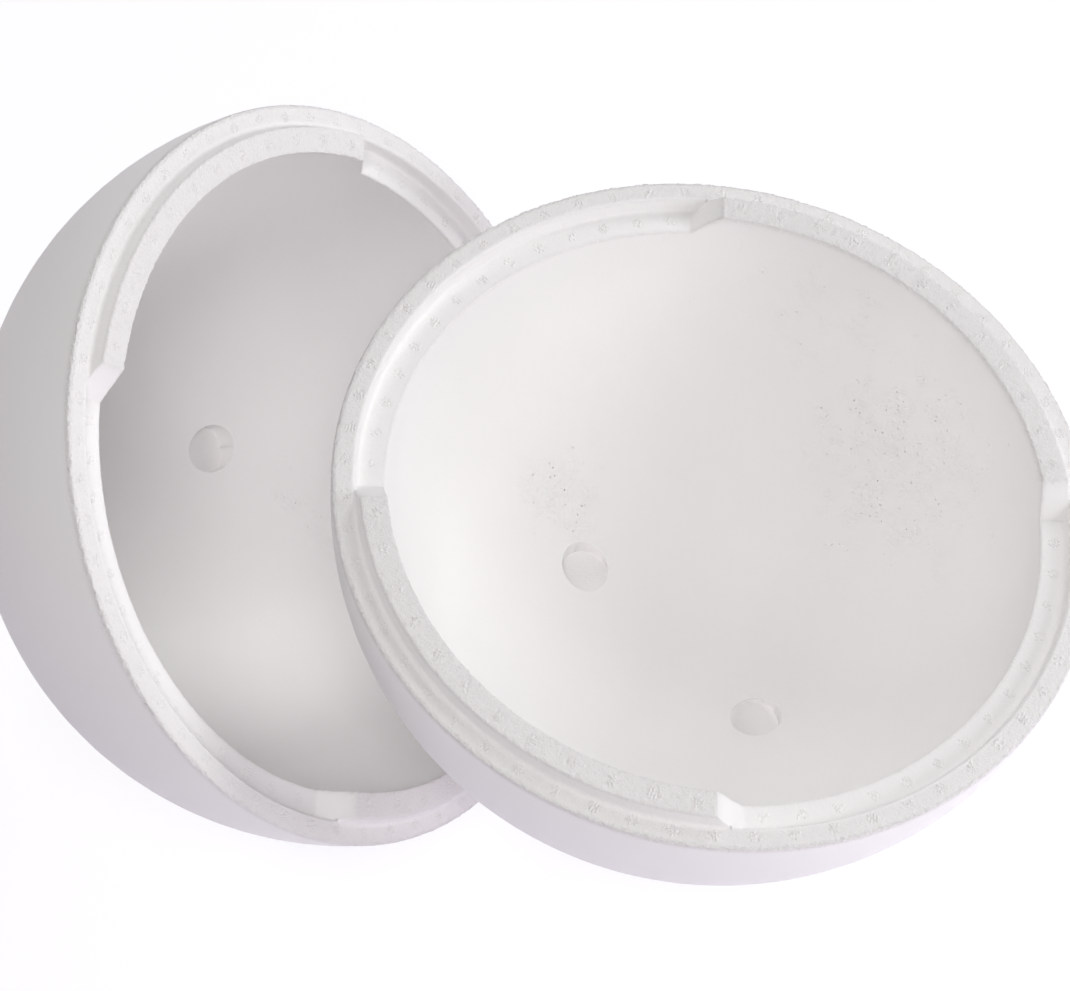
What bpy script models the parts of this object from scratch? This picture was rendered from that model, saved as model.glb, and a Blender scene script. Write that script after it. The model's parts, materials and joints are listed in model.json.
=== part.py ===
"""Hollow polystyrene ball, opened into its two half shells.

The halves are alike. Each is a hollow hemisphere whose rim has a flat band round its outside.
Inside the band the rim stands up as a tongue over two opposite quarters and drops to a rebate
over the other two, so that one half, turned over, plugs into the other.
Each half is modelled mouth up round its own centre and then laid as it rests on a table: both
stand on their round backs, and the front half's back leans on the back half's lower tongue.
"""

from math import asin, atan2, cos, hypot, pi, radians, sin, sqrt, tan

import bmesh
import bpy
from mathutils import Matrix, Vector

MM = 0.001

# Shell
BALL_RADIUS = 250 * MM
WALL = 35 * MM

# Stepped rim: the band at the outside, then the tongues and rebates
BAND_WIDTH = 15 * MM
TONGUE_HEIGHT = 9.5 * MM
SEAT_CLEARANCE = 0.5 * MM
SIDE_CLEARANCE = 0.5 * MM
END_CLEARANCE = 6 * MM
STEP_DRAFT = radians(11)
RAMP_SLOPE = radians(45)
EDGE_CHAMFER = 1.5 * MM
LIP = 4.5 * MM

# Round pockets that two pins of the mould leave in the hollow, in the middle of the rebated
# quarters. The pins stand parallel to the half's axis and are flat at their ends.
PIN_DIAMETER = 34 * MM
PIN_FROM_AXIS = 81 * MM
PIN_DEPTH = 1 * MM

# How each half lies: leaned over towards +X, turned about the upright, spun about its own axis
FRONT_TILT = radians(20.6)
FRONT_TURN = radians(4.3)
FRONT_SPIN = radians(10.5)
BACK_TILT = radians(66.1)
BACK_TURN = radians(-2.75)
BACK_SPIN = radians(-69.5)
CONTACT_GAP = 0.3 * MM

# Fineness of the faceted surfaces
OUTER_STEPS = 14
INNER_STEPS = 12
PLAIN_STEPS = 16
RAMP_STEPS = 2
PIN_SIDES = 32
SHARP_EDGE = radians(25)
MERGE_DISTANCE = 0.01 * MM

INNER_RADIUS = BALL_RADIUS - WALL
STEP_RADIUS = BALL_RADIUS - BAND_WIDTH
REBATE_DEPTH = TONGUE_HEIGHT + SEAT_CLEARANCE
STEP_MID_RADIUS = (INNER_RADIUS + STEP_RADIUS) / 2
QUARTER = pi / 2
TONGUE_MIDDLE = QUARTER / 2
REBATE_MIDDLE = TONGUE_MIDDLE + QUARTER
TONGUE_HALF_ANGLE = QUARTER / 2 - END_CLEARANCE / STEP_MID_RADIUS
RAMP_HALF_ANGLE = (TONGUE_HEIGHT + REBATE_DEPTH) / 2 / tan(RAMP_SLOPE) / STEP_MID_RADIUS

FOAM_COLOUR = (0.87, 0.86, 0.86, 1.0)
FOAM_ROUGHNESS = 0.75


def hollow_radius(height):
    """Distance from the axis to the round inner wall, at a height above the rim's plane."""
    return sqrt(INNER_RADIUS ** 2 - height ** 2)


def step_radius(height, level):
    """Distance from the axis to the drafted step. A tongue keeps its clearance to it."""
    clearance = SIDE_CLEARANCE * (1 + level) / 2
    return STEP_RADIUS - clearance - abs(height) * tan(STEP_DRAFT)


def rim_section(level):
    """Points (radius, height) of the rim inside the band, for a level from -1, the floor of a
    rebate, to 1, the top of a tongue."""
    full = TONGUE_HEIGHT if level > 0 else REBATE_DEPTH
    top = level * full
    corner = level * (full - EDGE_CHAMFER)
    return [
        (step_radius(corner, level), corner),
        (step_radius(top, level) - EDGE_CHAMFER, top),
        (hollow_radius(top) + EDGE_CHAMFER, top),
        (hollow_radius(top - EDGE_CHAMFER), top - EDGE_CHAMFER),
    ]


def rim_level(angle):
    """Level of the rim at an angle round the axis. The tongues lie opposite each other."""
    from_tongue = abs((angle - TONGUE_MIDDLE + QUARTER) % pi - QUARTER)
    inside = (TONGUE_HALF_ANGLE - from_tongue) / RAMP_HALF_ANGLE
    return max(-1.0, min(1.0, inside))


def arc(radius, start, end, steps):
    """Points (radius, height) on a circle round the ball's centre."""
    angles = [start + (end - start) * i / steps for i in range(steps + 1)]
    return [(radius * cos(a), radius * sin(a)) for a in angles]


def add_section(bm, station, start_angle):
    """The half's cross-section through a rebate, from the outer pole to the inner pole. The
    round inner wall starts a lip's height below the rebate's floor."""
    below_rim = asin((REBATE_DEPTH + LIP) / INNER_RADIUS)
    outside = arc(BALL_RADIUS, -QUARTER, -asin(EDGE_CHAMFER / BALL_RADIUS), OUTER_STEPS)
    band = [(BALL_RADIUS - EDGE_CHAMFER, 0), (STEP_RADIUS, 0)]
    rim = rim_section(-1)
    hollow = arc(INNER_RADIUS, -below_rim, -QUARTER, INNER_STEPS)
    first_rim = len(outside) + len(band)
    verts = []
    for i, (radius, height) in enumerate(outside + band + rim + hollow):
        vert = bm.verts.new((radius * cos(start_angle), radius * sin(start_angle), height))
        vert[station] = i - first_rim + 1 if first_rim <= i < first_rim + len(rim) else 0
        verts.append(vert)
    return verts + [bm.edges.new(pair) for pair in zip(verts, verts[1:])]


def half_shell_mesh(name):
    """One half, mouth up, its centre at the origin and its rim's band in the plane z = 0."""
    bm = bmesh.new()
    station = bm.verts.layers.int.new("station")
    geom = add_section(bm, station, TONGUE_MIDDLE - TONGUE_HALF_ANGLE - RAMP_HALF_ANGLE)
    tongue = 2 * (TONGUE_HALF_ANGLE - RAMP_HALF_ANGLE)
    rebate = pi - 2 * (TONGUE_HALF_ANGLE + RAMP_HALF_ANGLE)
    ramp = (2 * RAMP_HALF_ANGLE, RAMP_STEPS)
    for angle, steps in [ramp, (tongue, PLAIN_STEPS), ramp, (rebate, PLAIN_STEPS)] * 2:
        spun = bmesh.ops.spin(bm, geom=geom, cent=(0, 0, 0), axis=(0, 0, 1), dvec=(0, 0, 0),
                              angle=angle, steps=steps, use_merge=False, use_duplicate=False)
        geom = spun["geom_last"]
    bmesh.ops.remove_doubles(bm, verts=bm.verts, dist=MERGE_DISTANCE)
    for vert in bm.verts:
        if vert[station]:
            angle = atan2(vert.co.y, vert.co.x)
            radius, height = rim_section(rim_level(angle))[vert[station] - 1]
            vert.co = (radius * cos(angle), radius * sin(angle), height)
    bmesh.ops.recalc_face_normals(bm, faces=bm.faces)
    bm.verts.layers.int.remove(station)
    mesh = bpy.data.meshes.new(name)
    bm.to_mesh(mesh)
    bm.free()
    mesh.shade_smooth()
    mesh.set_sharp_from_angle(angle=SHARP_EDGE)
    return mesh


def pin_cutter_mesh():
    """Two rods, parallel to the axis, that sink the pins' flat pockets into the inner wall. A
    pocket is shallowest on its side towards the axis, and its wall is highest opposite."""
    shallow_side = PIN_FROM_AXIS - PIN_DIAMETER / 2
    floor = -sqrt(INNER_RADIUS ** 2 - shallow_side ** 2) - PIN_DEPTH
    bm = bmesh.new()
    for side in (-1, 1):
        spot = (Matrix.Rotation(REBATE_MIDDLE, 4, "Z")
                @ Matrix.Translation((side * PIN_FROM_AXIS, 0, floor / 2)))
        bmesh.ops.create_cone(bm, cap_ends=True, segments=PIN_SIDES, depth=-floor,
                              radius1=PIN_DIAMETER / 2, radius2=PIN_DIAMETER / 2, matrix=spot)
    mesh = bpy.data.meshes.new("pin_cutter")
    bm.to_mesh(mesh)
    bm.free()
    return mesh


def foam(name):
    """Near-white expanded foam, matt."""
    material = bpy.data.materials.new(name)
    material.use_nodes = True
    shader = material.node_tree.nodes["Principled BSDF"]
    shader.inputs["Base Color"].default_value = FOAM_COLOUR
    shader.inputs["Roughness"].default_value = FOAM_ROUGHNESS
    shader.inputs["Metallic"].default_value = 0.0
    material.diffuse_color = FOAM_COLOUR
    return material


def axis_rotation(tilt, turn):
    """Leans a half's axis over towards +X, then turns it about the upright."""
    return Matrix.Rotation(turn, 4, "Z") @ Matrix.Rotation(tilt, 4, "Y")


def centre_distance():
    """Distance between the halves' centres when the front half's back touches the inner edge
    of the back half's lower tongue, apart from the contact gap."""
    along = (axis_rotation(BACK_TILT, BACK_TURN) @ Vector((0, 0, 1))).x
    across = sqrt(1 - along ** 2)
    edge_radius = hollow_radius(TONGUE_HEIGHT) + EDGE_CHAMFER
    edge_from_centre = hypot(TONGUE_HEIGHT, edge_radius)
    edge_towards_front = along * TONGUE_HEIGHT + across * edge_radius
    reach = BALL_RADIUS + CONTACT_GAP
    return edge_towards_front + sqrt(edge_towards_front ** 2 + reach ** 2 - edge_from_centre ** 2)


def add_half(name, parent, centre_x, tilt, turn, spin, cutter_mesh):
    """A half shell with its pockets, standing on its round back."""
    half = bpy.data.objects.new(name, half_shell_mesh(name))
    half.data.materials.append(foam(name + "_foam"))
    cutter = bpy.data.objects.new(name + "_pins", cutter_mesh)
    cutter.hide_render = True
    cutter.display_type = "WIRE"
    for item in (half, cutter):
        bpy.context.scene.collection.objects.link(item)
    cutter.parent = half
    cut = half.modifiers.new("pockets", "BOOLEAN")
    cut.operation = "DIFFERENCE"
    cut.solver = "EXACT"
    cut.object = cutter
    half.parent = parent
    half.matrix_local = (Matrix.Translation((centre_x, 0, BALL_RADIUS))
                         @ axis_rotation(tilt, turn) @ Matrix.Rotation(spin, 4, "Z"))
    return half


def stand_on_origin(holder, halves):
    """Moves the pair so that the middle of its footprint box is the origin, on the floor."""
    bpy.context.view_layer.update()
    corners = [half.matrix_world @ vert.co for half in halves for vert in half.data.vertices]
    low = [min(corner[i] for corner in corners) for i in range(3)]
    high = [max(corner[i] for corner in corners) for i in range(3)]
    holder.location = (-(low[0] + high[0]) / 2, -(low[1] + high[1]) / 2, -low[2])


def build():
    for item in list(bpy.data.objects):
        bpy.data.objects.remove(item, do_unlink=True)
    holder = bpy.data.objects.new("ball", None)
    bpy.context.scene.collection.objects.link(holder)
    cutter_mesh = pin_cutter_mesh()
    apart = centre_distance()
    front = add_half("front_half", holder, apart / 2, FRONT_TILT, FRONT_TURN, FRONT_SPIN,
                     cutter_mesh)
    back = add_half("back_half", holder, -apart / 2, BACK_TILT, BACK_TURN, BACK_SPIN,
                    cutter_mesh)
    stand_on_origin(holder, (front, back))
    bpy.context.view_layer.update()


build()
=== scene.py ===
"""Hollow foam ball, opened into its two half shells: the finished surfaces and a plain studio.

The packed model says where each half lies. Both halves are modelled again here, finely enough
for the rounded edges, the beads along the rim, the small marks of the steam vents and the two
round pockets in the hollow, and they stand for the plain solids. Each is built mouth up round
its own centre, with the rim's band in the plane z = 0, and is then laid in its place.
"""

import json
from math import asin, atan2, ceil, cos, hypot, pi, radians, sin, sqrt, tan
from random import Random

import bmesh
import bpy
from bpy.props import FloatProperty, FloatVectorProperty, IntProperty, PointerProperty
from mathutils import Matrix, Vector, noise
from mathutils.kdtree import KDTree


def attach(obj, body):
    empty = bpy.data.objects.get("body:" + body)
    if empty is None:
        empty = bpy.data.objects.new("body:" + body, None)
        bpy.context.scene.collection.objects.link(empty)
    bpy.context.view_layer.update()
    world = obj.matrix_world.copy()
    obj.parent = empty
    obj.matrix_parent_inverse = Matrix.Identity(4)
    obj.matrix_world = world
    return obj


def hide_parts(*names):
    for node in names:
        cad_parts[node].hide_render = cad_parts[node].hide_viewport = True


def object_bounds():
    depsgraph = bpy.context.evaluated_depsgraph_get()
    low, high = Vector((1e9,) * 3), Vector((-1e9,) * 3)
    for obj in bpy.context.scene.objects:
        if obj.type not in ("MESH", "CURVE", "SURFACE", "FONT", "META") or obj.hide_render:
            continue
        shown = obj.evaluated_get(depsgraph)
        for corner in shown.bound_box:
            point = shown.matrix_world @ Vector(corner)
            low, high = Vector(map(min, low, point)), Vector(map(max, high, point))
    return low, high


bl_info = {
    "name": "Hollow Foam Ball",
    "version": (1, 0, 0),
    "blender": (4, 5, 0),
    "location": "3D View > Sidebar > Foam Ball",
    "description": "Two half shells of a hollow foam ball, with a plain studio round them",
    "category": "Object",
}

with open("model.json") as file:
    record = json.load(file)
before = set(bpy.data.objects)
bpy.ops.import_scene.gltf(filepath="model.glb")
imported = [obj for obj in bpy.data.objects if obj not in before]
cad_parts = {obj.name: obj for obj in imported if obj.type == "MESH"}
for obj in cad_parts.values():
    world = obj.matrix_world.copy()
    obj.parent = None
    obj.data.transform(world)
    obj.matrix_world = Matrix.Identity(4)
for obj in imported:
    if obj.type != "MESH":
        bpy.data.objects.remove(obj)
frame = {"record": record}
CAD_LOW, CAD_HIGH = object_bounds()

MM = 0.001
QUARTER = pi / 2

# Distance from a half's centre to the mount in the middle of its band's flat part
MOUNT_RADIUS = 241.75 * MM

# Softboxes: azimuth and elevation in degrees, power in watts, colour
SOFTBOXES = (
    ("above", 300, 60, 31, (1, 0.985, 0.985)),
    ("right", 0, 8, 23, (0.975, 1, 0.995)),
    ("back_right", 60, 25, 24, (0.975, 1, 0.995)),
    ("back_left", 160, 42, 13, (1, 0.98, 0.98)),
    ("front", 300, 8, 8, (1, 0.98, 1)),
)

# Stretches of each hollow where the beads lie open: the direction of the middle, as a turn
# round the axis and an angle from the pole in degrees, the reach and the share of open beads
OPEN_BEADS = {
    "front": ((126.7, 36.9, 46 * MM, 0.75), (31.7, 60.6, 110 * MM, 0.6), (60, 75, 90 * MM, 0.45)),
    "back": ((100, 52, 90 * MM, 0.5), (250, 40, 46 * MM, 0.7)),
}


class FoamBallShell(bpy.types.PropertyGroup):
    """Form of a half shell and of its stepped rim."""

    radius: FloatProperty(
        name="Ball Radius", description="Outer radius of the closed ball",
        default=249.7 * MM, subtype="DISTANCE", unit="LENGTH")
    wall: FloatProperty(
        name="Wall", description="Thickness of the foam",
        default=34.7 * MM, subtype="DISTANCE", unit="LENGTH")
    band_width: FloatProperty(
        name="Band Width", description="Width of the flat band round the outside of the rim",
        default=14.7 * MM, subtype="DISTANCE", unit="LENGTH")
    tongue_height: FloatProperty(
        name="Tongue Height", description="How far the tongues stand above the band",
        default=9.5 * MM, subtype="DISTANCE", unit="LENGTH")
    rebate_depth: FloatProperty(
        name="Rebate Depth", description="How far the rebates lie below the band",
        default=10 * MM, subtype="DISTANCE", unit="LENGTH")
    side_clearance: FloatProperty(
        name="Side Clearance", description="Play between a tongue and the side of its rebate",
        default=0.5 * MM, subtype="DISTANCE", unit="LENGTH")
    end_clearance: FloatProperty(
        name="End Clearance", description="Play at each end of a tongue",
        default=6 * MM, subtype="DISTANCE", unit="LENGTH")
    step_draft: FloatProperty(
        name="Step Draft", description="Slope of the step's side, for leaving the mould",
        default=radians(11), subtype="ANGLE", unit="ROTATION")
    ramp_slope: FloatProperty(
        name="Ramp Slope", description="Slope of the ramps between the tongues and the rebates",
        default=radians(45), subtype="ANGLE", unit="ROTATION")
    outer_round: FloatProperty(
        name="Outer Edge", description="Rounding of the rim's outer edge",
        default=1.5 * MM, subtype="DISTANCE", unit="LENGTH")
    step_round: FloatProperty(
        name="Step Edge", description="Rounding of the edge along the step",
        default=1.8 * MM, subtype="DISTANCE", unit="LENGTH")
    step_fillet: FloatProperty(
        name="Step Fillet", description="Rounding of the inner corner along the step",
        default=3 * MM, subtype="DISTANCE", unit="LENGTH")
    inner_round: FloatProperty(
        name="Inner Edge", description="Rounding of the edge of the hollow",
        default=1.2 * MM, subtype="DISTANCE", unit="LENGTH")
    lip: FloatProperty(
        name="Lip", description="Height of the hollow's wall next to a rebate that is grained",
        default=4.5 * MM, subtype="DISTANCE", unit="LENGTH")
    longitudes: IntProperty(
        name="Longitudes", description="Divisions round the smooth walls",
        default=284, min=32)
    rim_cuts: IntProperty(
        name="Rim Cuts", description="Further cuts in each division along the rim",
        default=3, min=0)

    @property
    def hollow(self):
        """Radius of the hollow."""
        return self.radius - self.wall

    @property
    def step(self):
        """Radius of the step's foot."""
        return self.radius - self.band_width

    @property
    def tongue_half_angle(self):
        """From the middle of a tongue to the middle of its ramp."""
        return QUARTER / 2 - 2 * self.end_clearance / (self.hollow + self.step)

    @property
    def ramp_half_angle(self):
        """Half the angle that a ramp takes."""
        rise = self.tongue_height + self.rebate_depth
        return rise / tan(self.ramp_slope) / (self.hollow + self.step)


class FoamBallMarks(bpy.types.PropertyGroup):
    """What the mould leaves on the foam, and how much painted shade darkens grained foam."""

    bead: FloatProperty(
        name="Bead", description="Width of a foam bead",
        default=2.7 * MM, subtype="DISTANCE", unit="LENGTH")
    groove_depth: FloatProperty(
        name="Groove Depth", description="Depth of the grooves between the rim's beads",
        default=0.2 * MM, subtype="DISTANCE", unit="LENGTH")
    grit: FloatProperty(
        name="Grit", description="Width of the rim's fine unevenness",
        default=2.2 * MM, subtype="DISTANCE", unit="LENGTH")
    grit_height: FloatProperty(
        name="Grit Height", description="Height of the rim's fine unevenness",
        default=0.4 * MM, subtype="DISTANCE", unit="LENGTH")
    # Painted shade: how far a grained surface is darkened towards the painted shade colour, standing
    # in for the shade among its beads
    grain_shade: FloatProperty(
        name="Grain Shade", description="How much a grained surface takes the colour of sunk foam",
        default=0.45, min=0, max=1, subtype="FACTOR")
    pit_depth: FloatProperty(
        name="Pit Depth", description="Depth of the pits where a bead is missing",
        default=0.8 * MM, subtype="DISTANCE", unit="LENGTH")
    pit_share: FloatProperty(
        name="Pit Share", description="Share of the rim's beads that are missing",
        default=0.07, min=0, max=1, subtype="FACTOR")
    band_vents: IntProperty(
        name="Band Vents", description="Steam vents round the band",
        default=60, min=2)
    tongue_vents: IntProperty(
        name="Tongue Vents", description="Steam vents along the top of a tongue",
        default=12, min=1)
    tongue_vent_pitch: FloatProperty(
        name="Tongue Vent Pitch", description="Turn from one vent of a tongue to the next",
        default=radians(6.9), subtype="ANGLE", unit="ROTATION")
    rebate_vents: IntProperty(
        name="Rebate Vents", description="Steam vents along the floor of a rebate",
        default=14, min=1)
    rebate_vent_pitch: FloatProperty(
        name="Rebate Vent Pitch", description="Turn from one vent of a rebate to the next",
        default=radians(6.2), subtype="ANGLE", unit="ROTATION")
    vent_width: FloatProperty(
        name="Vent Width", description="Width of the round group of nubs that a vent leaves",
        default=8 * MM, subtype="DISTANCE", unit="LENGTH")
    vent_depth: FloatProperty(
        name="Vent Depth", description="Depth of the round disc that the nubs stand in",
        default=0.35 * MM, subtype="DISTANCE", unit="LENGTH")
    vent_slot: FloatProperty(
        name="Vent Slot", description="Distance between the slots of a vent",
        default=1.9 * MM, subtype="DISTANCE", unit="LENGTH")
    nub_width: FloatProperty(
        name="Nub Width", description="Width of the nubs that the foam leaves in a slot",
        default=1.6 * MM, subtype="DISTANCE", unit="LENGTH")
    nub_height: FloatProperty(
        name="Nub Height", description="Height of the nubs",
        default=1 * MM, subtype="DISTANCE", unit="LENGTH")
    pin_width: FloatProperty(
        name="Pin Width", description="Width of the pins that leave the pockets in the hollow",
        default=34 * MM, subtype="DISTANCE", unit="LENGTH")
    pin_from_axis: FloatProperty(
        name="Pin Place", description="Distance from the half's axis to a pin's",
        default=81 * MM, subtype="DISTANCE", unit="LENGTH")
    pin_depth: FloatProperty(
        name="Pin Depth", description="Depth of a pocket on its side towards the axis",
        default=1 * MM, subtype="DISTANCE", unit="LENGTH")


class FoamBallPose(bpy.types.PropertyGroup):
    """How far each half is spun about its own axis."""

    front_spin: FloatProperty(
        name="Front Spin", description="Turn of the front half about its axis",
        default=radians(10.5), subtype="ANGLE", unit="ROTATION")
    back_spin: FloatProperty(
        name="Back Spin", description="Turn of the back half about its axis",
        default=radians(-69.5), subtype="ANGLE", unit="ROTATION")


class FoamBallFinish(bpy.types.PropertyGroup):
    """Colour and surface of the foam."""

    colour: FloatVectorProperty(
        name="Foam", description="Colour of the foam's skin",
        default=(0.92, 0.903, 0.90), subtype="COLOR", min=0, max=1)
    # Painted shade: the colour that stands in for the shade in pits, vent discs, between nubs and on
    # grained foam
    painted_shade_colour: FloatVectorProperty(
        name="Painted Shade", description="Colour of the foam in pits and between nubs",
        default=(0.755, 0.725, 0.725), subtype="COLOR", min=0, max=1)
    roughness: FloatProperty(
        name="Roughness", description="Roughness of the foam's skin",
        default=0.62, min=0, max=1, subtype="FACTOR")
    bead_relief: FloatProperty(
        name="Bead Relief", description="Height of the beads under the skin",
        default=0.12 * MM, subtype="DISTANCE", unit="LENGTH")
    grit_relief: FloatProperty(
        name="Grit Relief", description="Height of the fine grit on the rim",
        default=1.1 * MM, subtype="DISTANCE", unit="LENGTH")
    open_relief: FloatProperty(
        name="Open Bead Relief", description="Height of the beads where they lie open",
        default=1 * MM, subtype="DISTANCE", unit="LENGTH")


class FoamBallStudio(bpy.types.PropertyGroup):
    """Camera, floor and lamps."""

    lens: FloatProperty(
        name="Lens", description="Focal length of the camera",
        default=107.63, subtype="DISTANCE_CAMERA")
    azimuth: FloatProperty(
        name="Camera Azimuth", description="Turn of the camera round the halves",
        default=radians(32.07), subtype="ANGLE", unit="ROTATION")
    elevation: FloatProperty(
        name="Camera Elevation", description="Angle at which the camera looks down",
        default=radians(53.67), subtype="ANGLE", unit="ROTATION")
    roll: FloatProperty(
        name="Camera Roll", description="Roll of the camera about its line of sight",
        default=radians(-22.96), subtype="ANGLE", unit="ROTATION")
    place: FloatVectorProperty(
        name="Camera Place", description="Where the camera stands",
        default=(0.6732, -1.0621, 1.9399), subtype="TRANSLATION", unit="LENGTH")
    floor_size: FloatProperty(
        name="Floor Size", description="Width of the floor",
        default=12, subtype="DISTANCE", unit="LENGTH")
    softbox_size: FloatProperty(
        name="Softbox Size", description="Width of each softbox",
        default=0.9, subtype="DISTANCE", unit="LENGTH")
    softbox_distance: FloatProperty(
        name="Softbox Distance", description="Distance of the softboxes from the halves",
        default=2.6, subtype="DISTANCE", unit="LENGTH")
    light_level: FloatProperty(
        name="Light Level", description="Strength of all the softboxes together",
        default=0.9, min=0)
    world_level: FloatProperty(
        name="Soft Light", description="Level of the even light from all round",
        default=0.1, min=0)
    floor_glow: FloatProperty(
        name="Floor Glow", description="Level of the light that the floor gives off",
        default=0.37, min=0)
    floor_white: FloatProperty(
        name="Floor White", description="Level that brings the open floor to white for the camera",
        default=0.77, min=0)
    floor_shadow: FloatProperty(
        name="Floor Shadow", description="How much of the floor's light and shadow the camera sees",
        default=0.4, min=0, max=1, subtype="FACTOR")


def hollow_radius(shell, height):
    """Distance from the axis to the round inner wall, at a height above the band."""
    return sqrt(shell.hollow ** 2 - height ** 2)


def step_radius(shell, height, level):
    """Distance from the axis to the drafted step. A tongue keeps its clearance to it."""
    clearance = shell.side_clearance * (1 + level) / 2
    return shell.step - clearance - abs(height) * tan(shell.step_draft)


def rim_level(shell, angle):
    """Level of the rim at an angle round the axis, from -1, the floor of a rebate, to 1, the
    top of a tongue. The tongues lie opposite each other."""
    from_tongue = abs((angle - QUARTER / 2 + QUARTER) % pi - QUARTER)
    inside = (shell.tongue_half_angle - from_tongue) / shell.ramp_half_angle
    return max(-1.0, min(1.0, inside))


def straight(start, end, steps):
    """Points between the ends of a straight run of a section, without its ends."""
    return [start.lerp(end, i / steps) for i in range(1, steps)]


def rounded(before, corner, after, radius, steps):
    """Points along the arc that rounds a corner of a section."""
    towards = (before - corner).normalized()
    away = (after - corner).normalized()
    half_angle = towards.angle(away) / 2
    middle = corner + (towards + away).normalized() * (radius / sin(half_angle))
    first = corner + towards * (radius / tan(half_angle)) - middle
    last = corner + away * (radius / tan(half_angle)) - middle
    turn = last.angle_signed(first)
    return [middle + Matrix.Rotation(turn * i / steps, 2) @ first for i in range(steps + 1)]


def rim_section(shell, level):
    """Points (radius, height) over the rim at one level, from the outer wall to the wall of the
    hollow, each with how grained the foam is there: most on the edges and the tongues, least on
    the step and in the rebates. Every level has as many points."""
    top = level * (shell.tongue_height if level > 0 else shell.rebate_depth)
    edge = Vector((shell.radius, 0))
    foot = Vector((shell.step, 0))
    head = Vector((step_radius(shell, top, level), top))
    mouth = Vector((hollow_radius(shell, top), top))
    half_step = (head - foot).length / 2
    step_round = min(shell.step_round, half_step)
    step_fillet = min(shell.step_fillet, half_step)
    foot_round, head_round = (step_fillet, step_round) if level > 0 else (step_round, step_fillet)
    outside = [Vector((sqrt(shell.radius ** 2 - z ** 2), z)) for z in (-7 * MM, -4.5 * MM, -2.6 * MM)]
    edge_arc = rounded(edge - Vector((0, 1)), edge, foot, shell.outer_round, 3)
    foot_arc = rounded(edge, foot, head, foot_round, 3)
    head_arc = rounded(foot, head, mouth, head_round, 3)
    mouth_arc = rounded(head, mouth, mouth - Vector((0, 1)), shell.inner_round, 3)
    bottom = -shell.rebate_depth - shell.lip
    heights = [mouth_arc[-1].y + (bottom - mouth_arc[-1].y) * i / 5 for i in range(1, 6)]
    inside = [Vector((hollow_radius(shell, z), z)) for z in heights]
    # Extra grain towards the tongues' tops; grain also darkens the foam there with painted shade
    grain_and_shade = max(0.0, level) ** 4
    return (
        [(point, grain) for point, grain in zip(outside, (0, 0.3, 1.2))]
        + [(point, 4.2) for point in edge_arc]
        + [(point, 0.75) for point in straight(edge_arc[-1], foot_arc[0], 9)]
        + [(point, 0.4) for point in foot_arc]
        + [(point, 0.2) for point in straight(foot_arc[-1], head_arc[0], 4)]
        + [(point, 0.3 + 0.7 * grain_and_shade) for point in head_arc]
        + [(point, 0.2 + 0.8 * grain_and_shade) for point in straight(head_arc[-1], mouth_arc[0], 9)]
        + [(point, 0.6 + 1.8 * grain_and_shade) for point in mouth_arc]
        + [(point, grain) for point, grain in zip(inside, (0.2, 0, 0, 0, 0))]
    )


def arc(radius, start, end, spacing):
    """Points (radius, height) on a circle round the ball's centre, without the last."""
    steps = ceil(abs(end - start) * radius / spacing)
    angles = [start + (end - start) * i / steps for i in range(steps)]
    return [Vector((radius * cos(a), radius * sin(a))) for a in angles]


def half_section(shell):
    """The half's whole section through a rebate, from the outer pole to the inner pole, each
    point with its place in the rim, or 0."""
    rim = [point for point, grain in rim_section(shell, -1)]
    outside = arc(shell.radius, -QUARTER, -asin(-rim[0].y / shell.radius), 14 * MM)
    hollow = arc(shell.hollow, -asin(-rim[-1].y / shell.hollow), -QUARTER, 14 * MM)[1:]
    return (
        [(point, 0) for point in outside]
        + [(point, i + 1) for i, point in enumerate(rim)]
        + [(point, 0) for point in hollow + [Vector((0, -shell.hollow))]]
    )


def spin_half(bm, shell, station):
    """Spins the section round the axis, ramp by ramp, so that each ramp starts and ends on a
    division, and cuts the rim finer."""
    start = QUARTER / 2 - shell.tongue_half_angle - shell.ramp_half_angle
    verts = []
    for point, place in half_section(shell):
        vert = bm.verts.new((point.x * cos(start), point.x * sin(start), point.y))
        vert[station] = place
        verts.append(vert)
    geom = verts + [bm.edges.new(pair) for pair in zip(verts, verts[1:])]
    ramp = 2 * shell.ramp_half_angle
    tongue = 2 * (shell.tongue_half_angle - shell.ramp_half_angle)
    rebate = pi - 2 * (shell.tongue_half_angle + shell.ramp_half_angle)
    for angle in (ramp, tongue, ramp, rebate) * 2:
        steps = round(shell.longitudes * angle / (2 * pi))
        spun = bmesh.ops.spin(bm, geom=geom, cent=(0, 0, 0), axis=(0, 0, 1), dvec=(0, 0, 0),
                              angle=angle, steps=steps, use_merge=False, use_duplicate=False)
        geom = spun["geom_last"]
    bmesh.ops.remove_doubles(bm, verts=bm.verts, dist=0.01 * MM)
    along_rim = [edge for edge in bm.edges
                 if edge.verts[0][station] and edge.verts[0][station] == edge.verts[1][station]]
    bmesh.ops.subdivide_edges(bm, edges=along_rim, cuts=shell.rim_cuts, use_grid_fill=True)


def shape_rim(bm, shell, station, grain):
    """Moves the rim's vertices from the spun rebate to the tongues and the ramps, and notes how
    grained the foam is there."""
    sections = {}
    for vert in bm.verts:
        place = round(vert[station])
        if place:
            angle = atan2(vert.co.y, vert.co.x)
            key = round(angle, 5)
            if key not in sections:
                sections[key] = rim_section(shell, rim_level(shell, angle))
            point, vert[grain] = sections[key][place - 1]
            vert.co = (point.x * cos(angle), point.x * sin(angle), point.y)


def vent_row(radius, height, middle, pitch, count):
    """Middles of the vents in a row round the axis."""
    angles = [middle + (i - (count - 1) / 2) * pitch for i in range(count)]
    return [Vector((radius * cos(angle), radius * sin(angle), height)) for angle in angles]


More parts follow.
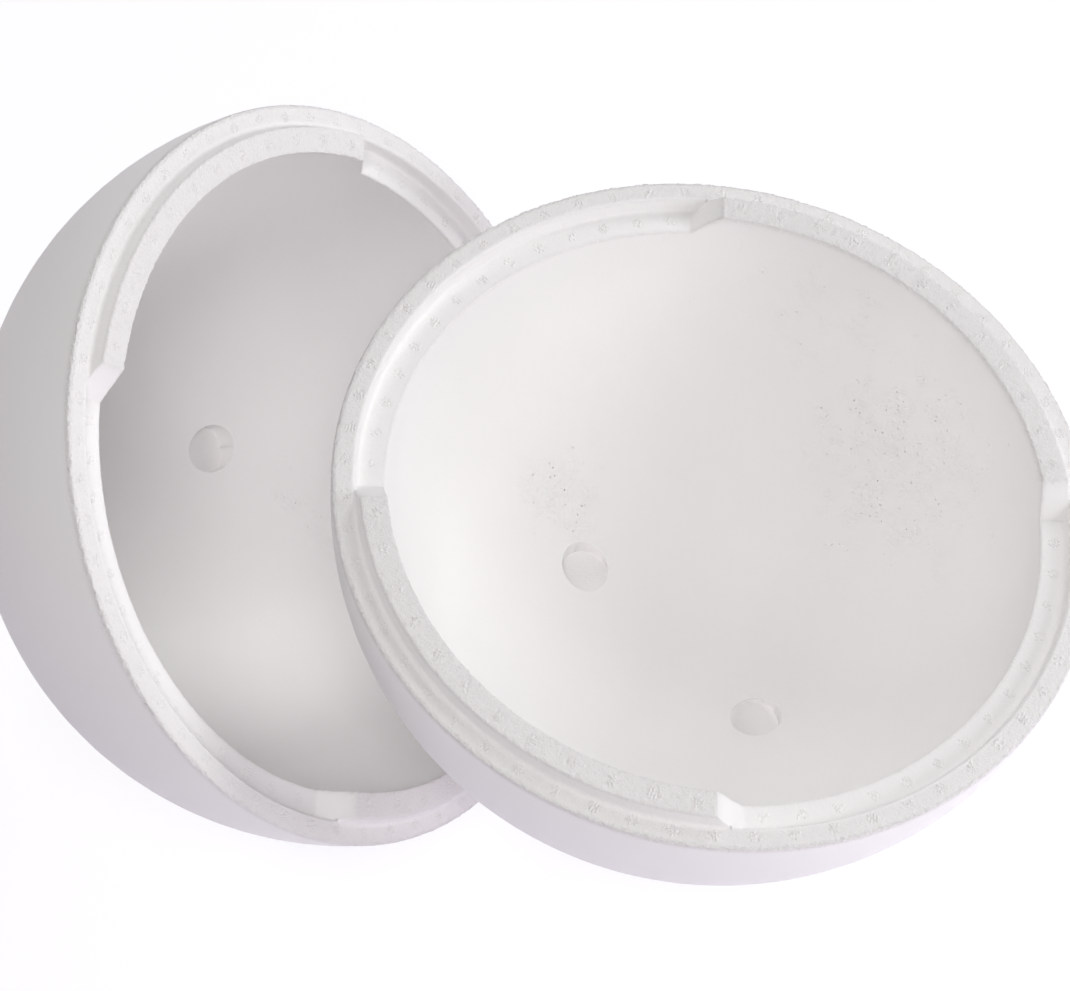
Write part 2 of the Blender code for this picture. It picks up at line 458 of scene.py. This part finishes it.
def vent_places(shell, marks):
    """Middles of the vents' marks along the band, the tongues and the rebates."""
    face_radius = (shell.step + shell.hollow) / 2 - 1 * MM
    band_radius = shell.step + 0.4 * shell.band_width
    places = vent_row(band_radius, 0, radians(5), 2 * pi / marks.band_vents, marks.band_vents)
    for tongue in (QUARTER / 2, QUARTER / 2 + pi):
        places += vent_row(face_radius, shell.tongue_height, tongue, marks.tongue_vent_pitch,
                           marks.tongue_vents)
        places += vent_row(face_radius, -shell.rebate_depth, tongue + QUARTER - radians(0.45),
                           marks.rebate_vent_pitch, marks.rebate_vents)
    return places


def nub_places(marks, vents, clearness, chance):
    """Nubs that the slots of each vent leave, in four broken rows. A clearer vent has more."""
    reach = (marks.vent_width - marks.nub_width) / 2
    step = 0.9 * marks.nub_width
    places = []
    for vent, clear in zip(vents, clearness):
        turn = Matrix.Rotation(chance.uniform(0, pi), 3, "Z")
        for row in range(4):
            across = (row - 1.5) * marks.vent_slot
            half_length = sqrt(max(0.0, reach ** 2 - across ** 2))
            count = round(2 * half_length / step) + 1
            for i in range(count):
                if chance.random() < 0.3 + 0.5 * clear:
                    wander = Vector((chance.uniform(-1, 1), chance.uniform(-1, 1), 0)) * 0.2 * MM
                    along = (i - (count - 1) / 2) * step
                    places.append(vent + turn @ Vector((along, across, 0)) + wander)
    return places


def tree_of(points):
    """A search tree of points."""
    tree = KDTree(len(points))
    for i, point in enumerate(points):
        tree.insert(point, i)
    tree.balance()
    return tree


def refine_near(bm, is_near, cuts):
    """Cuts the faces finer that lie near a mark."""
    edges = {edge for face in bm.faces if is_near(face.calc_center_median()) for edge in face.edges}
    bmesh.ops.subdivide_edges(bm, edges=list(edges), cuts=cuts, use_grid_fill=True)


def dome(distance, width):
    """Height, from 0 to 1, of a round bump of that width at a distance from its middle."""
    return max(0.0, 1 - (2 * distance / width) ** 2)


def bead_depth(marks, place, seed):
    """How deep a groove between beads and a pit are at a place in the foam."""
    distances, beads = noise.voronoi(place / marks.bead + seed)
    groove = max(0.0, 1 - (distances[1] - distances[0]) / 0.5)
    missing = abs(noise.cell(beads[0] * 91.7)) < marks.pit_share
    pit = max(0.0, 1 - distances[0] / 0.75) if missing else 0
    return groove * marks.groove_depth, pit * marks.pit_depth


def grain_rim(bm, marks, layers, vents, clearness, nubs, seed):
    """Sinks the grooves and pits between the rim's beads and the vents' discs, raises the nubs in
    the discs, and notes the painted shade that darkens the pits, the discs and grained foam but
    not the nubs. A clearer vent has a deeper disc."""
    bm.normal_update()
    moves = []
    for vert in bm.verts:
        grain = vert[layers["grain"]]
        if grain > 0:
            groove, pit = bead_depth(marks, vert.co, seed)
            grit = noise.noise(vert.co / marks.grit + seed) * marks.grit_height * min(1.0, grain)
            middle, vent, distance = vents.find(vert.co)
            disc = clearness[vent] * min(1.0, 3 * dome(distance, marks.vent_width))
            nub = dome(nubs.find(vert.co)[2], marks.nub_width)
            hole = disc * marks.vent_depth + pit * min(1.0, grain)
            # Painted shade on grained foam: the rougher the foam, the darker its colour, standing in
            # for the shade among its beads
            grain_and_shade = marks.grain_shade * min(1.0, grain)
            # Painted shade: pits and vent discs are darkened by their depth, and the nubs are left
            # light
            vert[layers["painted_shade"]] = min(1.0, grain_and_shade + 0.25 * hole / marks.pit_depth) * (1 - nub)
            edge = groove * max(0.0, grain - 0.5)
            moves.append((vert, vert.normal * (grit + nub * marks.nub_height - hole - edge)))
    for vert, move in moves:
        vert.co += move


def open_beads(bm, shell, patches, openness):
    """Notes where the hollow's beads lie open."""
    middles = []
    for turn, from_pole, reach, share in patches:
        lean = Matrix.Rotation(radians(turn), 3, "Z") @ Matrix.Rotation(-radians(from_pole), 3, "Y")
        middles.append((lean @ Vector((0, 0, -shell.hollow)), reach, share))
    for vert in bm.verts:
        if vert.co.length < shell.hollow + 1 * MM:
            shares = [share * dome((vert.co - middle).length, 2 * reach)
                      for middle, reach, share in middles]
            vert[openness] = max(shares)


def pin_mesh(shell, marks):
    """Two rods, parallel to the axis, as the mould's pins stood. Their flat ends lie lower than
    the wall of the hollow."""
    shallow_side = marks.pin_from_axis - marks.pin_width / 2
    floor = -sqrt(shell.hollow ** 2 - shallow_side ** 2) - marks.pin_depth
    bm = bmesh.new()
    for side in (-1, 1):
        spot = (Matrix.Rotation(QUARTER * 1.5, 4, "Z")
                @ Matrix.Translation((side * marks.pin_from_axis, 0, floor / 2)))
        bmesh.ops.create_cone(bm, cap_ends=True, segments=72, depth=-floor,
                              radius1=marks.pin_width / 2, radius2=marks.pin_width / 2, matrix=spot)
    mesh = bpy.data.meshes.new("pins")
    bm.to_mesh(mesh)
    bm.free()
    return mesh


def cut_pockets(context, mesh, shell, marks):
    """The mesh with the pins' two pockets cut into its hollow, their edges sharp."""
    half = add_object("uncut_half", mesh)
    pins = add_object("pins", pin_mesh(shell, marks))
    cut = half.modifiers.new("pockets", "BOOLEAN")
    cut.operation = "DIFFERENCE"
    cut.solver = "EXACT"
    cut.object = pins
    cut_half = half.evaluated_get(context.evaluated_depsgraph_get())
    result = bpy.data.meshes.new_from_object(cut_half)
    for item in (half, pins):
        bpy.data.objects.remove(item)
    bm = bmesh.new()
    bm.from_mesh(result)
    for edge in bm.edges:
        middle = (edge.verts[0].co + edge.verts[1].co) / 2
        if middle.z < -shell.hollow / 2 and edge.calc_face_angle(0) > radians(35):
            edge.smooth = False
    bm.to_mesh(result)
    bm.free()
    return result


def half_shell_mesh(name, shell, marks, patches, seed):
    """One half, mouth up, its centre at the origin and its rim's band in the plane z = 0."""
    bm = bmesh.new()
    names = ("station", "grain", "painted_shade", "openness")
    for layer in names:
        bm.verts.layers.float.new(layer)
    layers = {layer: bm.verts.layers.float[layer] for layer in names}
    spin_half(bm, shell, layers["station"])
    shape_rim(bm, shell, layers["station"], layers["grain"])
    vents = vent_places(shell, marks)
    vent_tree = tree_of(vents)
    refine_near(bm, lambda place: vent_tree.find(place)[2] < 0.55 * marks.vent_width, 2)
    open_beads(bm, shell, patches, layers["openness"])
    bmesh.ops.recalc_face_normals(bm, faces=bm.faces)
    chance = Random(seed)
    clearness = [chance.uniform(0.15, 1) for vent in vents]
    nubs = tree_of(nub_places(marks, vents, clearness, chance))
    grain_rim(bm, marks, layers, vent_tree, clearness, nubs, Vector((seed, seed, seed)))
    bm.verts.layers.float.remove(layers["station"])
    mesh = bpy.data.meshes.new(name)
    bm.to_mesh(mesh)
    bm.free()
    mesh.shade_smooth()
    return mesh


def half_placement(shell, mount_name, side, spin):
    """Lays a half in its place. The mount lies in the middle of its band's flat part, down the
    slope from the centre for a side of 1, or up the slope for -1."""
    mount = next(m for m in frame["record"]["mounts"] if m["name"] == mount_name)
    axis = Vector(mount["axis"]).normalized()
    turn = atan2(axis.y, axis.x)
    tilt = atan2(hypot(axis.x, axis.y), axis.z)
    lean = Matrix.Rotation(turn, 4, "Z") @ Matrix.Rotation(tilt, 4, "Y")
    reach = side * MOUNT_RADIUS
    centre = Vector(mount["pos_m"]) - (lean @ Vector((reach, 0, 0)))
    return Matrix.Translation(centre) @ lean @ Matrix.Rotation(spin, 4, "Z")


class Nodes:
    """Adds shader nodes to a material or world and links them by name."""

    def __init__(self, owner):
        owner.use_nodes = True
        self.tree = owner.node_tree
        self.tree.nodes.clear()

    def add(self, kind, inputs=(), **settings):
        """A node with its settings and its inputs, which are values or other nodes' outputs."""
        node = self.tree.nodes.new(kind)
        for key, value in settings.items():
            setattr(node, key, value)
        for key, value in dict(inputs).items():
            if isinstance(value, bpy.types.NodeSocket):
                self.tree.links.new(value, node.inputs[key])
            else:
                node.inputs[key].default_value = value
        return node

    def math(self, operation, first, second=0.0, clamp=False):
        """The output of a sum on one or two values."""
        node = self.add("ShaderNodeMath", {0: first, 1: second}, operation=operation)
        node.use_clamp = clamp
        return node.outputs[0]

    def fade(self, value, low, high):
        """0 at low, 1 at high and smooth between them."""
        node = self.add("ShaderNodeMapRange", {"Value": value, "From Min": low, "From Max": high},
                        interpolation_type="SMOOTHSTEP")
        return node.outputs["Result"]


def foam_material(name, finish, marks):
    """Expanded foam under its moulded skin: beads that show faintly, a gritty rim, and stretches
    of the hollow where the beads lie open."""
    material = bpy.data.materials.new(name)
    nodes = Nodes(material)
    place = nodes.add("ShaderNodeTexCoord").outputs["Object"]
    grain = nodes.add("ShaderNodeAttribute", attribute_name="grain").outputs["Fac"]
    # Mask of the painted shade in pits, vent discs and on grained foam
    painted_shade = nodes.add("ShaderNodeAttribute", attribute_name="painted_shade").outputs["Fac"]
    openness = nodes.add("ShaderNodeAttribute", attribute_name="openness").outputs["Fac"]
    bead_edge = nodes.add("ShaderNodeTexVoronoi", {"Vector": place, "Scale": 1 / marks.bead},
                          feature="DISTANCE_TO_EDGE").outputs["Distance"]
    groove = nodes.math("SUBTRACT", 1.0, nodes.fade(bead_edge, 0.0, 0.16))
    grit = nodes.add("ShaderNodeTexNoise", {"Vector": place, "Scale": 620.0, "Detail": 3.0,
                                            "Roughness": 0.6}).outputs["Fac"]
    worms = nodes.add("ShaderNodeTexNoise", {"Vector": place, "Scale": 420.0, "Detail": 1.0,
                                             "Distortion": 0.8}).outputs["Fac"]
    patches = nodes.add("ShaderNodeTexNoise", {"Vector": place, "Scale": 60.0, "Detail": 2.0}
                        ).outputs["Fac"]
    spots = nodes.add("ShaderNodeTexVoronoi", {"Vector": place, "Scale": 1 / (1.8 * marks.bead)}
                      ).outputs["Distance"]
    cloud = nodes.add("ShaderNodeTexNoise", {"Vector": place, "Scale": 14.0, "Detail": 3.0}
                      ).outputs["Fac"]
    relief = nodes.math("ADD", 0.1, nodes.math("MULTIPLY", grain, 0.8), clamp=True)
    bare = nodes.fade(nodes.math("ADD", openness, nodes.math("MULTIPLY", patches, 1.6)), 1.0, 1.5)
    dot = nodes.math("MULTIPLY", nodes.math("SUBTRACT", 1.0, nodes.fade(spots, 0.04, 0.15)), bare)
    bead_bump = nodes.add("ShaderNodeBump", {"Height": groove, "Strength": relief,
                                             "Distance": finish.bead_relief}, invert=True)
    grit_bump = nodes.add("ShaderNodeBump", {"Height": grit, "Strength": relief,
                                             "Distance": finish.grit_relief,
                                             "Normal": bead_bump.outputs["Normal"]})
    worm_bump = nodes.add("ShaderNodeBump", {"Height": worms, "Strength": bare,
                                             "Distance": finish.open_relief,
                                             "Normal": grit_bump.outputs["Normal"]})
    dot_bump = nodes.add("ShaderNodeBump", {"Height": dot, "Strength": 1.0,
                                            "Distance": finish.open_relief,
                                            "Normal": worm_bump.outputs["Normal"]}, invert=True)
    # Painted shade: darker colour in pits, vent discs and on grained foam, from the vertex mask, and
    # in the dimples of open beads; the faint cloud adds the foam's own uneven tone
    shade_and_mottle = nodes.math("ADD", nodes.math("MAXIMUM", painted_shade, nodes.math("MULTIPLY", dot, 0.3)),
                       nodes.math("MULTIPLY", cloud, 0.1), clamp=True)
    tint = nodes.add("ShaderNodeMix", {"Factor": shade_and_mottle}, data_type="RGBA")
    tint.inputs["A"].default_value = (*finish.colour, 1)
    tint.inputs["B"].default_value = (*finish.painted_shade_colour, 1)
    rough = nodes.math("ADD", finish.roughness, nodes.math("MULTIPLY", grain, 0.15), clamp=True)
    shader = nodes.add("ShaderNodeBsdfPrincipled", {
        "Base Color": tint.outputs["Result"], "Roughness": rough,
        "Normal": dot_bump.outputs["Normal"], "Metallic": 0.0, "Specular IOR Level": 0.35})
    nodes.add("ShaderNodeOutputMaterial", {"Surface": shader.outputs["BSDF"]})
    material.diffuse_color = (*finish.colour, 1)
    return material


def add_object(name, data):
    """A new object in the scene."""
    item = bpy.data.objects.new(name, data)
    bpy.context.scene.collection.objects.link(item)
    return item


class FOAMBALL_OT_half_shells(bpy.types.Operator):
    """Model both half shells in the places that the packed model gives them"""

    bl_idname = "foam_ball.half_shells"
    bl_label = "Half Shells"

    def execute(self, context):
        ball = context.scene.foam_ball
        halves = (
            ("front", 1, ball.pose.front_spin, 3),
            ("back", -1, ball.pose.back_spin, 11),
        )
        for end, side, spin, seed in halves:
            mesh = half_shell_mesh(end + "_whole", ball.shell, ball.marks, OPEN_BEADS[end], seed)
            mesh = cut_pockets(context, mesh, ball.shell, ball.marks)
            mesh.name = end + "_half_foam"
            mesh.transform(half_placement(ball.shell, end + "_rim", side, spin))
            mesh.materials.append(foam_material(end + "_foam", ball.finish, ball.marks))
            piece = add_object(end + "_half_foam", mesh)
            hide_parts(end + "_half")
            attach(piece, "root")
        return {"FINISHED"}


def floor_material(name, studio):
    """A pale floor that glows softly. The camera sees it white, with the soft shadow of what
    stands on it."""
    material = bpy.data.materials.new(name)
    nodes = Nodes(material)
    paint = nodes.add("ShaderNodeBsdfDiffuse", {"Color": (0.85, 0.82, 0.90, 1)})
    glow = nodes.add("ShaderNodeEmission", {"Color": (0.94, 0.88, 1.0, 1),
                                            "Strength": studio.floor_glow})
    lit = nodes.add("ShaderNodeAddShader", {0: paint.outputs[0], 1: glow.outputs[0]})
    place = nodes.add("ShaderNodeTexCoord").outputs["Object"]
    reach = nodes.add("ShaderNodeVectorMath", {0: place}, operation="LENGTH").outputs["Value"]
    unlit = nodes.math("MULTIPLY", nodes.fade(reach, 0.7, 3.0), 1 - studio.floor_white)
    white = nodes.add("ShaderNodeEmission", {
        "Strength": nodes.math("ADD", studio.floor_white, unlit)})
    black = nodes.add("ShaderNodeEmission", {"Strength": 0.0})
    faint = nodes.add("ShaderNodeMixShader", {
        "Fac": studio.floor_shadow, 1: black.outputs[0], 2: paint.outputs[0]})
    seen = nodes.add("ShaderNodeAddShader", {0: faint.outputs[0], 1: white.outputs[0]})
    rays = nodes.add("ShaderNodeLightPath")
    shader = nodes.add("ShaderNodeMixShader", {
        "Fac": rays.outputs["Is Camera Ray"], 1: lit.outputs[0], 2: seen.outputs[0]})
    nodes.add("ShaderNodeOutputMaterial", {"Surface": shader.outputs[0]})
    return material


def light_world(level):
    """Even soft light from all round, behind a white background."""
    world = bpy.data.worlds.new("studio")
    nodes = Nodes(world)
    soft = nodes.add("ShaderNodeBackground", {"Color": (1, 1, 1, 1), "Strength": level})
    white = nodes.add("ShaderNodeBackground", {"Color": (1, 1, 1, 1), "Strength": 1.0})
    rays = nodes.add("ShaderNodeLightPath")
    seen = nodes.math("MAXIMUM", rays.outputs["Is Camera Ray"],
                      nodes.math("MAXIMUM", rays.outputs["Is Glossy Ray"],
                                 rays.outputs["Is Transmission Ray"]))
    shader = nodes.add("ShaderNodeMixShader", {"Fac": seen, 1: soft.outputs[0], 2: white.outputs[0]})
    nodes.add("ShaderNodeOutputWorld", {"Surface": shader.outputs[0]})
    bpy.context.scene.world = world


def towards(azimuth, elevation):
    """Direction with an azimuth and an elevation in degrees."""
    flat = cos(radians(elevation))
    return Vector((flat * cos(radians(azimuth)), flat * sin(radians(azimuth)),
                   sin(radians(elevation))))


def add_softbox(name, place, target, size, power, colour):
    """A square softbox that faces a target."""
    lamp = bpy.data.lights.new(name, "AREA")
    lamp.shape = "SQUARE"
    lamp.size = size
    lamp.energy = power
    lamp.color = colour
    item = add_object(name, lamp)
    item.location = place
    item.rotation_euler = (target - place).to_track_quat("-Z", "Y").to_euler()
    return item


class FOAMBALL_OT_studio(bpy.types.Operator):
    """Set up the camera, the pale floor and the soft studio light"""

    bl_idname = "foam_ball.studio"
    bl_label = "Studio"

    def execute(self, context):
        studio = context.scene.foam_ball.studio
        bm = bmesh.new()
        bmesh.ops.create_grid(bm, x_segments=1, y_segments=1, size=studio.floor_size / 2)
        bmesh.ops.translate(bm, verts=bm.verts, vec=(0, 0, -0.3 * MM))
        mesh = bpy.data.meshes.new("floor")
        bm.to_mesh(mesh)
        bm.free()
        mesh.materials.append(floor_material("floor_white", studio))
        add_object("floor", mesh)
        light_world(studio.world_level)
        middle = (CAD_LOW + CAD_HIGH) / 2
        for name, azimuth, elevation, power, colour in SOFTBOXES:
            place = middle + towards(azimuth, elevation) * studio.softbox_distance
            add_softbox(name, place, middle, studio.softbox_size, power * studio.light_level, colour)
        camera = add_object("camera", bpy.data.cameras.new("camera"))
        camera.data.lens = studio.lens
        camera.data.sensor_fit = "HORIZONTAL"
        camera.data.clip_end = 50
        camera.matrix_world = (
            Matrix.Translation(studio.place) @ Matrix.Rotation(studio.azimuth, 4, "Z")
            @ Matrix.Rotation(QUARTER - studio.elevation, 4, "X")
            @ Matrix.Rotation(studio.roll, 4, "Z"))
        context.scene.camera = camera
        context.scene.view_settings.view_transform = "Standard"
        return {"FINISHED"}


class FoamBallSettings(bpy.types.PropertyGroup):
    """All settings of the ball."""

    shell: PointerProperty(type=FoamBallShell, name="Shell", description="Form of the halves")
    marks: PointerProperty(type=FoamBallMarks, name="Marks", description="Marks of the mould")
    pose: PointerProperty(type=FoamBallPose, name="Pose", description="How the halves lie")
    finish: PointerProperty(type=FoamBallFinish, name="Finish", description="Look of the foam")
    studio: PointerProperty(type=FoamBallStudio, name="Studio", description="Camera and light")


class FOAMBALL_PT_main(bpy.types.Panel):
    """Panel of the ball in the sidebar"""

    bl_idname = "FOAMBALL_PT_main"
    bl_label = "Hollow Foam Ball"
    bl_space_type = "VIEW_3D"
    bl_region_type = "UI"
    bl_category = "Foam Ball"

    def draw(self, context):
        ball = context.scene.foam_ball
        self.layout.operator(FOAMBALL_OT_half_shells.bl_idname)
        self.layout.operator(FOAMBALL_OT_studio.bl_idname)
        for group in (ball.shell, ball.marks, ball.pose, ball.finish, ball.studio):
            box = self.layout.box()
            box.label(text=group.__doc__)
            for key in group.__annotations__:
                box.prop(group, key)


CLASSES = (
    FoamBallShell,
    FoamBallMarks,
    FoamBallPose,
    FoamBallFinish,
    FoamBallStudio,
    FoamBallSettings,
    FOAMBALL_OT_half_shells,
    FOAMBALL_OT_studio,
    FOAMBALL_PT_main,
)


def register():
    for item in CLASSES:
        bpy.utils.register_class(item)
    bpy.types.Scene.foam_ball = PointerProperty(type=FoamBallSettings)


def unregister():
    del bpy.types.Scene.foam_ball
    for item in reversed(CLASSES):
        bpy.utils.unregister_class(item)


def main():
    register()
    bpy.ops.foam_ball.half_shells()
    bpy.ops.foam_ball.studio()


if __name__ == "__main__":
    main()
